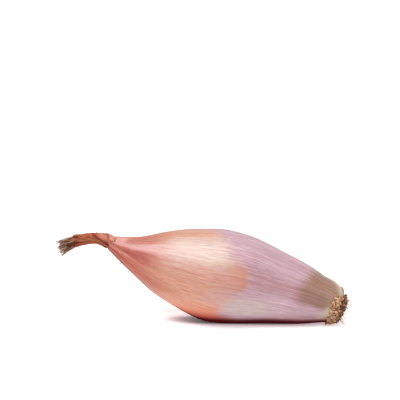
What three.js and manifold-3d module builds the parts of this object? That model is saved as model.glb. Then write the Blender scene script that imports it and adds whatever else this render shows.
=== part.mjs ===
// A pink banana shallot lying on its side, in millimetres, +Z up.
// +X runs along its length, from the dry neck to the roots, and -Y is its front.
// The origin is on the surface that it lies on, under its weight.
// It has three pieces of three colours: the pink bulb in its skin, the brown dry neck of
// twisted leaf sheaths above it, and the brown base of the bulb with its matted dry roots.
import * as THREE from "three";
import { mergeVertices } from "three/addons/utils/BufferGeometryUtils.js";
import Module from "manifold-3d";

const wasm = await Module();
wasm.setup();

const { Vector3, MathUtils } = THREE;
const { lerp, smoothstep, degToRad } = MathUtils;

// The bulb. Its stations run from the roots to the neck: x, height of its centre line, radius.
const bulbStations = [
  [48.4, 7.5, 6.4],
  [34.7, 11.8, 12.5],
  [19.6, 15.7, 16.4],
  [5.1, 18.9, 19.9],
  [-7.5, 20.9, 20.8],
  [-19.5, 23.6, 18.1],
  [-31.1, 26.4, 14.0],
  [-42.8, 29.9, 7.6],
  [-53.9, 34.7, 2.6],
];
const bulbRows = 36;
const bulbSides = 64;
const bulbLength = 112; // along the curve, at the pace it has near the roots
const rootBendShare = 0.28; // share of the length over which the root end turns to the front
const rootBend = 2.0; // how far it turns
const backFlat = 0.04; // share of the radius that the back loses, where its twin grew
const endRound = 1.3; // radius of the edge at either end

// Ribs and folds of the skin: how many there are around, and how high they stand
const ribs = { count: 18, height: 0.1 };
const pleats = { count: 12, height: 0.42, from: 0.68, full: 0.93 };
const puckers = { count: 20, height: 0.22, reach: 0.1 };

// The dry neck. Its stations run on from the bulb's tip: x, y, z, radius of the bundle.
const neckStations = [
  [-56.6, -0.2, 35.7, 2.4],
  [-60.3, -0.6, 36.3, 1.75],
  [-65.2, -1.3, 35.8, 1.75],
  [-70.6, -2.3, 34.6, 1.95],
  [-76.4, -3.5, 33.0, 2.4],
];
const shoulderShares = [0.94, 0.97, 1]; // places on the bulb that the sheaths start from
const sheathThickness = 0.64;
const skinGap = 0.3; // space between one piece and the next
const neckTwist = degToRad(-150); // turn of the bundle, most of it at the pinch
const neckCore = { radius: 1.3, sides: 8, steps: 9, end: 0.93 };

// The base of the bulb: a low dome, and a torn sleeve of dry skin that runs back from its rim
const base = { height: 1.2, rows: 5, sides: 52, lump: 0.25 };
const sleeve = { thickness: 0.62, shortest: 1.3, longest: 4.0, underneath: 0.3 };
const roots = { count: 56, thickness: 0.8, sunk: 0.8, shortest: 0.4, longest: 1.7 };
const curls = { count: 11, thickness: 0.62, shortest: 1.4, longest: 2.6 };
const floorClear = 0.12;

// A small seeded generator, so that each build gives the same shallot
function seeded(seed) {
  let state = seed;
  return (low, high) => {
    state = (state * 1664525 + 1013904223) % 4294967296;
    return lerp(low, high, state / 4294967296);
  };
}

// The bulb's centre line and radius as one smooth curve: x, radius, height
const bulbCurve = new THREE.CatmullRomCurve3(
  bulbStations.map(([x, z, r]) => new Vector3(x, r, z)),
  false,
  "catmullrom",
  0.5,
);

function bulbCentre(share) {
  const at = bulbCurve.getPoint(MathUtils.clamp(share, 0, 1));
  const turned = Math.max(0, 1 - share / rootBendShare);
  return new Vector3(at.x, -rootBend * turned * turned, at.z);
}

function bulbRadius(share) {
  return bulbCurve.getPoint(MathUtils.clamp(share, 0, 1)).y;
}

// Directions at a point of a line: along it, up from it, and to the front
function directions(along) {
  const up = new Vector3(0, 0, 1).addScaledVector(along, -along.z).normalize();
  return { along, up, front: new Vector3().crossVectors(up, along) };
}

function bulbDirections(share) {
  const step = 0.002;
  const from = bulbCentre(Math.max(0, share - step));
  const to = bulbCentre(Math.min(1, share + step));
  return directions(to.sub(from).normalize());
}

// How far the ribs, the neck's pleats and the root end's puckers stand out
function skinRelief(share, angle) {
  const drift = Math.sin(2 * angle + 0.7);
  const rib = Math.cos(ribs.count * angle + 1.6 * drift) * ribs.height;
  const pleat = Math.cos(pleats.count * angle + 1.1 * drift + 2 * share);
  const pucker = Math.cos(puckers.count * angle + 0.9 * drift);
  return (
    rib * smoothstep(share, 0.02, 0.2) +
    pleat * pleats.height * smoothstep(share, pleats.from, pleats.full) +
    pucker * puckers.height * smoothstep(puckers.reach - share, 0, puckers.reach)
  );
}

// A point of the bulb's skin: a circle around the centre line, flatter at the back, with the
// relief added, its ends rounded over and its underside flat where it meets the surface
function skinPoint(share, angle, grow) {
  const { along, up, front } = bulbDirections(share);
  const centre = bulbCentre(share);
  const back = Math.max(0, -Math.sin(angle));
  const fromEnd = Math.min(
    centre.distanceTo(bulbCentre(0)),
    centre.distanceTo(bulbCentre(1)) * 2,
  );
  const inward = Math.max(0, endRound - fromEnd);
  const rounding = endRound - Math.sqrt(endRound * endRound - inward * inward);
  const radius = bulbRadius(share) * (1 - backFlat * back * back) - rounding * 0.8;
  const out = up
    .multiplyScalar(Math.cos(angle))
    .addScaledVector(front, Math.sin(angle));
  const point = centre.addScaledVector(out, radius + skinRelief(share, angle) + grow);
  if (share === 0) point.addScaledVector(along, -grow);
  if (share === 1) point.addScaledVector(along, grow);
  point.z = Math.max(point.z, -grow);
  return point;
}

// A closed solid through rings of points, with a fan over either end
function loft(rings) {
  const sides = rings[0].length;
  const middles = [rings[0], rings[rings.length - 1]].map((ring) =>
    ring.reduce((sum, p) => sum.add(p), new Vector3()).divideScalar(sides),
  );
  const points = [...rings.flat(), ...middles];
  const index = [];
  for (let row = 0; row + 1 < rings.length; row++) {
    for (let side = 0; side < sides; side++) {
      const next = (side + 1) % sides;
      const a = row * sides + side;
      const b = row * sides + next;
      index.push(a, a + sides, b, b, a + sides, b + sides);
    }
  }
  const lastRing = (rings.length - 1) * sides;
  for (let side = 0; side < sides; side++) {
    const next = (side + 1) % sides;
    index.push(points.length - 2, side, next);
    index.push(points.length - 1, lastRing + next, lastRing + side);
  }
  const geometry = new THREE.BufferGeometry().setFromPoints(points);
  geometry.setIndex(index);
  return geometry;
}

// A three.js geometry as a solid that can be joined and cut, facing out
function solidOf(geometry) {
  const merged = mergeVertices(geometry, 1e-4);
  const vertProperties = merged.attributes.position.array;
  const triVerts = new Uint32Array(merged.index.array);
  const solid = new wasm.Manifold(new wasm.Mesh({ numProp: 3, vertProperties, triVerts }));
  if (solid.volume() > 0) return solid;
  for (let i = 0; i < triVerts.length; i += 3) {
    [triVerts[i], triVerts[i + 1]] = [triVerts[i + 1], triVerts[i]];
  }
  return new wasm.Manifold(new wasm.Mesh({ numProp: 3, vertProperties, triVerts }));
}

function geometryOf(solid) {
  const { vertProperties, triVerts } = solid.getMesh();
  const geometry = new THREE.BufferGeometry();
  geometry.setAttribute("position", new THREE.BufferAttribute(vertProperties, 3));
  geometry.setIndex(new THREE.BufferAttribute(triVerts, 1));
  return geometry;
}

// The largest of a solid's bodies, without the scraps that a cut leaves
function mainBody(solid) {
  const bodies = solid.decompose();
  return bodies.reduce((best, body) => (body.volume() > best.volume() ? body : best));
}

// The bulb in its skin, or the same shape grown outwards by a gap
function bulbSolid(grow) {
  const rings = [];
  for (let row = 0; row <= bulbRows; row++) {
    const even = row / bulbRows;
    const eased = 0.5 - 0.5 * Math.cos(Math.PI * even);
    const share = row === bulbRows ? 1 : lerp(even, eased, 0.6);
    const ring = [];
    for (let side = 0; side < bulbSides; side++) {
      ring.push(skinPoint(share, (2 * Math.PI * side) / bulbSides, grow));
    }
    rings.push(ring);
  }
  return solidOf(loft(rings));
}

// The line that the neck's sheaths follow, from the bulb's shoulder to the frayed end, and
// the distance from it at which they lie
const neckPlaces = [
  ...shoulderShares.map((share) => {
    const lift = skinGap + sheathThickness * lerp(1.1, 0.2, smoothstep(share, 0.95, 1));
    return { at: bulbCentre(share), radius: bulbRadius(share) + lift };
  }),
  ...neckStations.map(([x, y, z, radius]) => ({ at: new Vector3(x, y, z), radius })),
];
const neckLine = new THREE.CatmullRomCurve3(neckPlaces.map((place) => place.at));
const neckRadii = new THREE.CatmullRomCurve3(
  neckPlaces.map((place) => new Vector3(place.radius, 0, 0)),
);
const pinch = (shoulderShares.length - 1) / (neckPlaces.length - 1);

function neckFrame(share, angle) {
  const { along, up, front } = directions(neckLine.getTangent(share));
  const turned = angle + neckTwist * (
    0.7 * smoothstep(share, pinch - 0.06, pinch + 0.24) + 0.3 * smoothstep(share, 0.5, 1)
  );
  const out = up
    .clone()
    .multiplyScalar(Math.cos(turned))
    .addScaledVector(front, Math.sin(turned));
  return { centre: neckLine.getPoint(share), out, across: out.clone().cross(along) };
}

// One thin arched strip of sheath along the neck: six points to a ring
function sheath({ from, to, angle, width, lift, flare, steps = 10 }) {
  const rings = [];
  const half = sheathThickness / 2;
  for (let step = 0; step <= steps; step++) {
    const u = step / steps;
    const share = lerp(from, to, u);
    const { centre, out, across } = neckFrame(share, angle);
    const raised = neckRadii.getPoint(share).x + lift + flare * smoothstep(u, 0.75, 1);
    const taper = lerp(0.35, 1, smoothstep(u, 0, 0.14)) * lerp(1, 0.4, smoothstep(u, 0.86, 1));
    const reach = width * taper;
    const sag = (reach * reach) / (2 * Math.max(raised, 2));
    const ring = [
      [-reach, -half - sag],
      [0, -half],
      [reach, -half - sag],
      [reach, half - sag],
      [0, half],
      [-reach, half - sag],
    ];
    rings.push(
      ring.map(([side, height]) =>
        centre.clone().addScaledVector(across, side).addScaledVector(out, raised + height),
      ),
    );
  }
  return solidOf(loft(rings));
}

function neckSolid(bulbGrown) {
  const random = seeded(7);
  const strips = [];
  const around = 9;
  for (let i = 0; i < around; i++) {
    const outer = i % 2;
    strips.push(
      sheath({
        from: outer ? random(0.1, 0.2) : pinch - 0.03,
        to: random(0.88, 0.97) + 0.03 * outer,
        angle: (2 * Math.PI * i) / around + random(-0.12, 0.12),
        width: random(1.05, 1.45),
        lift: outer ? 0.22 : -0.28,
        flare: random(-0.5, 0.9),
      }),
    );
  }
  // torn tongues of the outer skin, which lie back over the bulb's shoulder
  for (const [angle, from, width] of [
    [0.4, 0.02, 1.9],
    [1.7, 0.13, 1.4],
    [4.5, 0.05, 1.8],
    [5.6, 0.1, 1.4],
  ]) {
    strips.push(sheath({ from, to: 0.62, angle, width, lift: 0.1, flare: 0.2, steps: 7 }));
  }
  const { radius, sides, steps, end } = neckCore;
  const rings = [];
  for (let step = 0; step <= steps; step++) {
    const share = lerp(pinch, end, step / steps);
    const ring = [];
    for (let side = 0; side < sides; side++) {
      const { centre, out } = neckFrame(share, (2 * Math.PI * side) / sides);
      ring.push(centre.addScaledVector(out, radius * lerp(1.25, 1, smoothstep(share, pinch, 0.5))));
    }
    rings.push(ring);
  }
  strips.push(solidOf(loft(rings)));
  return mainBody(wasm.Manifold.union(strips).subtract(bulbGrown));
}

// Directions at the base: straight out of the bulb, up and to the front
const baseMiddle = bulbCentre(0);
const baseDirections = bulbDirections(0);
const outOfBase = baseDirections.along.clone().negate();
const sleeveLift = skinGap + sleeve.thickness;
const rimRadius = skinPoint(0, 0, sleeveLift)
  .sub(baseMiddle)
  .dot(baseDirections.up);

function onBase(outward, distance, angle) {
  return baseMiddle
    .clone()
    .addScaledVector(outOfBase, outward)
    .addScaledVector(baseDirections.up, distance * Math.cos(angle))
    .addScaledVector(baseDirections.front, distance * Math.sin(angle));
}

function aboveSurface(point, least) {
  point.z = Math.max(point.z, least);
  return point;
}

// How far the sleeve runs back at an angle: a torn edge, short where the bulb lies on it
function sleeveReach(angle) {
  const torn = 0.5 + 0.3 * Math.sin(4 * angle + 2.2) + 0.3 * Math.sin(12 * angle + 2 * Math.sin(3 * angle));
  const reach = lerp(sleeve.shortest, sleeve.longest, MathUtils.clamp(torn, 0, 1));
  return lerp(reach, sleeve.underneath, smoothstep(-Math.cos(angle), 0.72, 0.9));
}

// Height of the lumpy dome at a distance from its middle
function domeHeight(distance, angle) {
  const edge = Math.min(1, distance / rimRadius);
  const lumps = Math.sin(3 * angle + 4 * edge) * Math.sin(5 * edge + 1) * base.lump;
  return sleeveLift + base.height * Math.sqrt(1 - edge * edge) + lumps * (1 - edge);
}

// The sleeve and the dome in one skin: from the torn edge along the bulb, round the rim and
// over the dome. The bulb is cut out of it later, which leaves the sleeve hollow.
function baseSolid() {
  const rings = [1, 0.6, 0.25, 0].map((share) => {
    const ring = [];
    for (let side = 0; side < base.sides; side++) {
      const angle = (2 * Math.PI * side) / base.sides;
      const back = (share * sleeveReach(angle)) / bulbLength;
      ring.push(aboveSurface(skinPoint(back, angle, sleeveLift), 0));
    }
    return ring;
  });
  for (let row = 1; row < base.rows; row++) {
    const distance = rimRadius * Math.cos(((Math.PI / 2) * row) / base.rows);
    const ring = [];
    for (let side = 0; side < base.sides; side++) {
      const angle = (2 * Math.PI * side) / base.sides;
      ring.push(aboveSurface(onBase(domeHeight(distance, angle), distance, angle), 0));
    }
    rings.push(ring);
  }
  return solidOf(loft(rings));
}

// One dry root: a bent three-sided spike, sunk into the dome
function rootSolid({ distance, angle, length, lean, curl }) {
  const rings = [];
  const steps = 2;
  const start = onBase(domeHeight(distance, angle) - roots.sunk, distance, angle);
  const outward = onBase(0, 1, angle).sub(baseMiddle);
  const heading = outOfBase.clone().addScaledVector(outward, lean).normalize();
  const sideways = new Vector3().crossVectors(heading, outward).normalize();
  for (let step = 0; step <= steps; step++) {
    const u = step / steps;
    const centre = start
      .clone()
      .addScaledVector(heading, (length + roots.sunk) * u)
      .addScaledVector(sideways, curl * u * u);
    const radius = (roots.thickness / 2) * lerp(1, 0.5, u);
    aboveSurface(centre, radius + floorClear);
    const ring = [];
    for (let side = 0; side < 3; side++) {
      const turn = (2 * Math.PI * side) / 3 + angle;
      ring.push(
        centre
          .clone()
          .addScaledVector(outward, radius * Math.cos(turn))
          .addScaledVector(sideways, radius * Math.sin(turn)),
      );
    }
    rings.push(ring);
  }
  return solidOf(loft(rings));
}

// One loose curl of dry skin: a thin blade that lifts off the sleeve, to the roots or back
function curlSolid({ angle, length, width, lift, toRoots }) {
  const rings = [];
  const steps = 3;
  const half = curls.thickness / 2;
  const from = (toRoots ? 0.8 : sleeveReach(angle) * 0.5) / bulbLength;
  const start = skinPoint(from, angle, sleeveLift - half);
  const { along, up, front } = bulbDirections(from);
  const out = up.clone().multiplyScalar(Math.cos(angle)).addScaledVector(front, Math.sin(angle));
  const around = new Vector3().crossVectors(out, along);
  for (let step = 0; step <= steps; step++) {
    const u = step / steps;
    const centre = start
      .clone()
      .addScaledVector(along, (toRoots ? -length : length) * u)
      .addScaledVector(out, lift * u * u)
      .addScaledVector(around, 0.5 * u * u);
    const across = width * lerp(1, 0.45, u);
    const corners = [
      [-across, -half],
      [across, -half],
      [across, half],
      [-across, half],
    ];
    rings.push(
      corners.map(([side, height]) =>
        centre.clone().addScaledVector(around, side).addScaledVector(out, height),
      ),
    );
  }
  return solidOf(loft(rings));
}

function rootTuftSolid(bulbGrown) {
  const random = seeded(23);
  const solids = [baseSolid()];
  const goldenAngle = Math.PI * (3 - Math.sqrt(5));
  for (let i = 0; i < roots.count; i++) {
    const share = Math.sqrt((i + 0.5) / roots.count);
    solids.push(
      rootSolid({
        distance: rimRadius * 0.95 * share,
        angle: i * goldenAngle,
        length: random(roots.shortest, roots.longest),
        lean: random(0, 0.8) * share,
        curl: random(-1, 1),
      }),
    );
  }
  for (let i = 0; i < curls.count; i++) {
    const angle = (1.4 * Math.PI * (i + random(-0.3, 0.3))) / (curls.count - 1) - 0.7 * Math.PI;
    solids.push(
      curlSolid({
        angle,
        length: random(curls.shortest, curls.longest),
        width: random(0.6, 1.1),
        lift: random(0.2, 1.1),
        toRoots: i % 3 === 0,
      }),
    );
  }
  return mainBody(wasm.Manifold.union(solids).subtract(bulbGrown));
}

function skinMaterial(color, roughness) {
  return new THREE.MeshStandardMaterial({ color, roughness, metalness: 0 });
}

const shallot = new THREE.Group();

function addPiece(name, solid, material) {
  const piece = new THREE.Mesh(geometryOf(solid), material);
  piece.name = name;
  shallot.add(piece);
}

const bulbGrown = bulbSolid(skinGap);
addPiece("bulb", bulbSolid(0), skinMaterial("#d9a3a0", 0.4));
addPiece("dry_neck", neckSolid(bulbGrown), skinMaterial("#b0663f", 0.75));
addPiece("root_tuft", rootTuftSolid(bulbGrown), skinMaterial("#8c6446", 0.9));

export default shallot;
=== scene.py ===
import math

import bpy
import numpy as np
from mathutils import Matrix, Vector


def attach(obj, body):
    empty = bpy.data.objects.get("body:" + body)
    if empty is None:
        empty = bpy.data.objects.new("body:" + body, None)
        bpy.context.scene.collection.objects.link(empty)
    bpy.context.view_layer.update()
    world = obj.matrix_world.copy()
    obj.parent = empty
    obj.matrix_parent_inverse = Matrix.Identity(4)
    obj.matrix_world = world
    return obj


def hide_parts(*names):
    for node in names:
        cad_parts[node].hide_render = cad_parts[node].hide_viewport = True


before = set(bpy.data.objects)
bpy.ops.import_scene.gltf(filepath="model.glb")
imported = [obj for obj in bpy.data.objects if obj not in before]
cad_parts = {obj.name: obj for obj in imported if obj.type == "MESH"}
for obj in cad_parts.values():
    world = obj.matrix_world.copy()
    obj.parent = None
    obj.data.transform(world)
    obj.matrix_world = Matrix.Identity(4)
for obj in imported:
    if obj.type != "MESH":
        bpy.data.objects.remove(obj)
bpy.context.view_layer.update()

mm = 0.001
print("solids loaded:", ", ".join(sorted(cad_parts)))


# Numbers and shapes that every piece uses. Lengths are in millimetres until a mesh is made.

def smooth(x, low, high):
    # 0 below low, 1 above high, and 3t^2 - 2t^3 between
    t = np.clip((x - low) / (high - low), 0, 1)
    return t * t * (3 - 2 * t)


def curveThrough(points, share):
    # Catmull-Rom curve with evenly spaced knots: a cubic between each two points, whose slope at
    # a point is half the step from the point before to the point after
    points = np.asarray(points, float)
    pace = np.clip(share, 0, 1) * (len(points) - 1)
    start = np.minimum(pace.astype(int), len(points) - 2)
    w = (pace - start)[..., None]
    longer = np.vstack([2 * points[0] - points[1], points, 2 * points[-1] - points[-2]])
    a, b, c, d = (longer[start + i] for i in range(4))
    slopeB, slopeC = (c - a) / 2, (d - b) / 2
    return ((2 * w**3 - 3 * w**2 + 1) * b + (w**3 - 2 * w**2 + w) * slopeB
            + (3 * w**2 - 2 * w**3) * c + (w**3 - w**2) * slopeC)


def unit(vectors):
    return vectors / np.linalg.norm(vectors, axis=-1, keepdims=True)


def directionsOf(along):
    # up is +Z less its share along the line, and front is up x along
    up = unit(np.array([0.0, 0.0, 1.0]) - along * along[..., 2:3])
    return up, np.cross(up, along)


def softNoise(u, v, cellsU, cellsV, seed):
    # Random heights from -1 to 1 on a lattice, blended smoothly between its points. It repeats
    # in u, from 0 to 1, and runs from 0 to 1 in v.
    heights = np.random.default_rng(seed).uniform(-1, 1, (cellsU, cellsV + 2))
    x, y = u * cellsU, np.clip(v, 0, 1) * cellsV
    ix, iy = np.floor(x).astype(int), np.floor(y).astype(int)
    fx, fy = smooth(x - ix, 0, 1), smooth(y - iy, 0, 1)
    left, right = ix % cellsU, (ix + 1) % cellsU
    near = heights[left, iy] * (1 - fx) + heights[right, iy] * fx
    far = heights[left, iy + 1] * (1 - fx) + heights[right, iy + 1] * fx
    return near * (1 - fy) + far * fy


def tubeMesh(name, points, fields=None):
    # points holds rings for each of several closed tubes: (tubes, rows, sides, xyz). Quads join
    # ring to ring, and a fan from a middle point closes either end. The UV map runs around and
    # along a tube, and each field becomes a point attribute.
    tubes, rows, sides = points.shape[:3]
    ends = points[:, [0, -1]].mean(axis=2)
    vertices = np.concatenate([points.reshape(tubes, -1, 3), ends], axis=1).reshape(-1, 3)
    step = rows * sides + 2
    row, side = np.meshgrid(np.arange(rows - 1), np.arange(sides), indexing="ij")
    row, side = row.ravel(), side.ravel()
    after = (side + 1) % sides
    quads = np.stack([row * sides + side, row * sides + after,
                      (row + 1) * sides + after, (row + 1) * sides + side], 1)
    quadPlaces = np.stack([np.stack([side, row], 1), np.stack([side + 1, row], 1),
                           np.stack([side + 1, row + 1], 1), np.stack([side, row + 1], 1)], 1)
    around = np.arange(sides)
    next_ = (around + 1) % sides
    last = (rows - 1) * sides
    startFan = np.stack([np.full(sides, rows * sides), next_, around], 1)
    endFan = np.stack([np.full(sides, rows * sides + 1), last + around, last + next_], 1)
    zero, top = np.zeros(sides), np.full(sides, rows - 1)
    startPlaces = np.stack([np.stack([around + 0.5, zero], 1), np.stack([around + 1, zero], 1),
                            np.stack([around, zero], 1)], 1)
    endPlaces = np.stack([np.stack([around + 0.5, top], 1), np.stack([around, top], 1),
                          np.stack([around + 1, top], 1)], 1)
    scale = np.array([sides, rows - 1])
    shift = (np.arange(tubes) * step)[:, None, None]
    quadFaces = (quads[None] + shift).reshape(-1, 4)
    fanFaces = (np.concatenate([startFan, endFan])[None] + shift).reshape(-1, 3)
    quadUv = np.tile((quadPlaces / scale).reshape(-1, 2), (tubes, 1))
    fanUv = np.tile((np.concatenate([startPlaces, endPlaces]) / scale).reshape(-1, 2), (tubes, 1))

    mesh = bpy.data.meshes.new(name)
    mesh.from_pydata((vertices * mm).tolist(), [], quadFaces.tolist() + fanFaces.tolist())
    uvMap = mesh.uv_layers.new(name="around and along")
    uvMap.data.foreach_set("uv", np.concatenate([quadUv, fanUv]).ravel())
    for label, values in (fields or {}).items():
        width = values.shape[3] if values.ndim == 4 else 1
        values = values.reshape(tubes, rows, sides, width)
        closing = values[:, [0, -1]].mean(axis=2)
        flat = np.concatenate([values.reshape(tubes, -1, width), closing], axis=1)
        kind, slot = ("FLOAT_VECTOR", "vector") if width == 3 else ("FLOAT", "value")
        mesh.attributes.new(label, kind, "POINT").data.foreach_set(slot, flat.ravel())
    mesh.polygons.foreach_set("use_smooth", np.ones(len(mesh.polygons), bool))
    mesh.update()
    return mesh


def addPiece(name, mesh, material, slot, *nodes):
    piece = bpy.data.objects.new(name, mesh)
    bpy.context.scene.collection.objects.link(piece)
    mesh.materials.append(material)
    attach(piece, "root")
    if nodes:
        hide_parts(*nodes)
    print(name, "made with", len(mesh.polygons), "faces")
    return piece


class Wire:
    # A socket in a material, which Python's arithmetic works on: each operation on values adds
    # its Math node, and any other node comes from add()
    def __init__(self, tree, socket=None):
        self.tree, self.socket = tree, socket

    def add(self, nodeType, settings=None, inputs=None, output=0):
        node = self.tree.nodes.new(nodeType)
        for key, value in (settings or {}).items():
            if key == "stops":
                ramp = node.color_ramp.elements
                while len(ramp) < len(value):
                    ramp.new(0.5)
                for element, (place, color) in zip(ramp, value):
                    element.position = place
                    element.color = color
            else:
                setattr(node, key, value)
        for key, value in (inputs or {}).items():
            if isinstance(value, Wire):
                self.tree.links.new(value.socket, node.inputs[key])
            else:
                node.inputs[key].default_value = value
        return Wire(self.tree, node.outputs[output])

    def math(self, operation, *values):
        return self.add("ShaderNodeMath", {"operation": operation}, dict(enumerate(values)))

    def __add__(self, other):
        return self.math("ADD", self, other)

    def __sub__(self, other):
        return self.math("SUBTRACT", self, other)

    def __rsub__(self, other):
        return self.math("SUBTRACT", other, self)

    def __mul__(self, other):
        return self.math("MULTIPLY", self, other)

    def __truediv__(self, other):
        return self.math("DIVIDE", self, other)

    def __pow__(self, other):
        return self.math("POWER", self, other)

    def __abs__(self):
        return self.math("ABSOLUTE", self)

    __radd__, __rmul__ = __add__, __mul__

    def between(self, low, high):
        # 0 below low, 1 above high, smooth between: falls instead of rising where low is above high
        if low > high:
            return 1 - self.between(high, low)
        return self.add("ShaderNodeMapRange", {"interpolation_type": "SMOOTHSTEP"},
                        {"Value": self, "From Min": low, "From Max": high})

    def field(self, name, output="Fac"):
        return self.add("ShaderNodeAttribute", {"attribute_name": name}, output=output)

    def part(self, axis):
        return self.add("ShaderNodeSeparateXYZ", inputs={"Vector": self}, output=axis)

    def times(self, x, y, z):
        return self.add("ShaderNodeVectorMath", {"operation": "MULTIPLY"}, {0: self, 1: (x, y, z)})

    def noise(self, scale, detail=2.0, roughness=0.5, distortion=0.0):
        return self.add("ShaderNodeTexNoise", inputs={
            "Vector": self, "Scale": scale, "Detail": detail, "Roughness": roughness,
            "Distortion": distortion})

    def mixed(self, color, share):
        # this colour turning into another by a share
        settings = {"data_type": "RGBA"}
        return self.add("ShaderNodeMix", settings, {0: share, 6: self, 7: color}, output=2)

    def shaded(self, color, share):
        # this colour multiplied by another by a share
        settings = {"data_type": "RGBA", "blend_type": "MULTIPLY"}
        return self.add("ShaderNodeMix", settings, {0: share, 6: self, 7: color}, output=2)


studioLight = 1.6                        # white under the lights, as a multiple of full white


def paint(code):
    # A colour as it is seen under the lights, such as #d9a08c, in the linear values of a shader
    values = [int(code[i:i + 2], 16) / 255 for i in (1, 3, 5)]
    linear = [v / 12.92 if v <= 0.04045 else ((v + 0.055) / 1.055) ** 2.4 for v in values]
    return (*(v / studioLight for v in linear), 1.0)


def newMaterial(name, steady):
    # A Principled material with its steady values set, the wire that its nodes grow from and a
    # function that links what varies
    material = bpy.data.materials.new(name)
    material.use_nodes = True
    tree = material.node_tree
    shader = tree.nodes["Principled BSDF"]
    for key, value in steady.items():
        shader.inputs[key].default_value = value

    def finish(**varying):
        for key, wire in varying.items():
            tree.links.new(wire.socket, shader.inputs[key.replace("_", " ")])

    return material, Wire(tree), finish


def bladePoints(path, across, out, width, cup, half):
    # Rings around each row of many thin closed blades. Over a ring w runs from -1 to 1 on the
    # outer face and back on the inner one: path + across width w + out (cup w^2 + face half).
    ring = 14
    phase = (np.arange(ring) + 0.5) / ring * math.tau
    w = np.cos(phase)
    face = np.sign(np.sin(phase)) * (1 - 0.6 * w**6)
    offset = np.where(w > 0, width[0][..., None], width[1][..., None]) * w
    raised = cup[..., None] * w**2 + half[..., None] * face
    return path[:, :, None] + across[:, :, None] * offset[..., None] + out[:, :, None] * raised[..., None]


# The bulb in its skin

bulb = {
    # x, height of the centre line and radius, from the roots to the neck
    "stations": [(48.4, 7.5, 6.4), (34.7, 11.8, 12.5), (19.6, 15.7, 16.4), (5.1, 18.9, 19.9),
                 (-7.5, 20.9, 20.8), (-19.5, 23.6, 18.1), (-31.1, 26.4, 14.0),
                 (-42.8, 29.9, 7.6), (-53.9, 34.7, 2.6)],
    "rows": 330, "sides": 288,
    "bendShare": 0.28, "bend": 2.0,      # the root end turns to the front
    "backFlat": 0.04, "endRound": 1.3,
    "ribs": (18, 0.1), "pleats": (12, 0.36), "pleatTurn": 0.3, "puckers": (20, 0.22),
    "tunicStep": 0.12,                   # thickness of the torn outer skin where its edge shows
    # the edge of the outer skin: angle from the top towards the front in degrees, length from
    # the roots, and how sharply it ends there, from 0 to 1
    "tunicEdge": [(0, 62, 0), (20, 56.8, 0.2), (32, 53.2, 0.6), (41, 51.4, 0.6), (50, 50.1, 0.4),
                  (55, 48.6, 0.4), (59, 46.2, 0.5), (63, 44.3, 0.75), (69, 43.6, 0.8),
                  (81, 42.8, 0.8), (86, 43, 0.75), (90, 44.4, 0.65), (93, 46.5, 0.5),
                  (99, 48.1, 0.4), (105, 49.8, 0.4), (112, 51.4, 0.5),
                  (120, 52.8, 0.75), (134, 52.3, 0.8), (160, 54, 0.6), (180, 56, 0.1),
                  (215, 52, 0.2), (230, 46, 0.9), (258, 44, 1),
                  (266, 50, 0.4), (285, 57, 0), (320, 62, 0), (360, 62, 0)],
    "length": 106.2, "ragReach": (2.2, 4.0), "shoulder": 1.4,
}


def bulbLine(share):
    # Centre line and radius at a share of the length. Its root end turns to the front by
    # bend * (1 - share / bendShare)^2.
    x, height, radius = np.moveaxis(curveThrough(bulb["stations"], share), -1, 0)
    turned = np.maximum(0, 1 - share / bulb["bendShare"])
    return np.stack([x, -bulb["bend"] * turned**2, height], -1), radius


def bulbDirections(share):
    step = 0.002
    ahead, behind = np.clip(share + step, 0, 1), np.clip(share - step, 0, 1)
    return unit(bulbLine(ahead)[0] - bulbLine(behind)[0])


def lengthFromRoots(share):
    fine = np.linspace(0, 1, 1001)
    steps = np.linalg.norm(np.diff(bulbLine(fine)[0], axis=0), axis=1)
    return np.interp(share, fine, np.concatenate([[0], np.cumsum(steps)]))


def tunicDistance(share, angle):
    # How far inside the outer skin a place is, along the bulb, and how sharp its edge is there
    turns, lengths, sharp = zip(*bulb["tunicEdge"])
    edge = sum(np.interp((np.degrees(angle) + near) % 360, turns, lengths) for near in (-3, 0, 3)) / 3
    sharpness = np.interp(np.degrees(angle) % 360, turns, sharp)
    ragged = 0.4 * softNoise(angle / math.tau, share * 0, 52, 1, 5)
    return lengthFromRoots(share) - edge + ragged, sharpness


def bulbRelief(share, angle):
    # Ribs, pleats and puckers are cosines around the bulb, each faded in over its own stretch.
    # Finer folds are noise that is long along the bulb and narrow around it.
    drift = np.sin(2 * angle + 0.7)
    turn = angle / math.tau
    ribs, pleats, puckers = bulb["ribs"], bulb["pleats"], bulb["puckers"]
    relief = ribs[1] * np.cos(ribs[0] * angle + 1.6 * drift) * smooth(share, 0.02, 0.2)
    fold = np.cos(pleats[0] * (angle - bulb["pleatTurn"]) + 1.1 * drift + 2 * share)
    relief += pleats[1] * fold * smooth(share, 0.68, 0.93)
    relief += puckers[1] * np.cos(puckers[0] * angle + 0.9 * drift) * smooth(0.1 - share, 0, 0.1)
    nearNeck, nearRoot = smooth(share, 0.6, 0.97), smooth(0.2 - share, 0, 0.2)
    relief += (0.02 + 0.14 * nearNeck) * softNoise(turn, share, 44, 4, 1)
    relief += (0.015 + 0.08 * nearNeck + 0.08 * nearRoot) * softNoise(turn, share, 96, 7, 2)
    relief += 0.08 * softNoise(turn, share, 6, 7, 3)
    # the shoulder on top, just before the roots
    onTop = smooth(np.cos(angle), 0.1, 0.8)
    relief += bulb["shoulder"] * smooth(share, 0, 0.024) * smooth(0.105 - share, 0, 0.065) * onTop
    return relief


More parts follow.
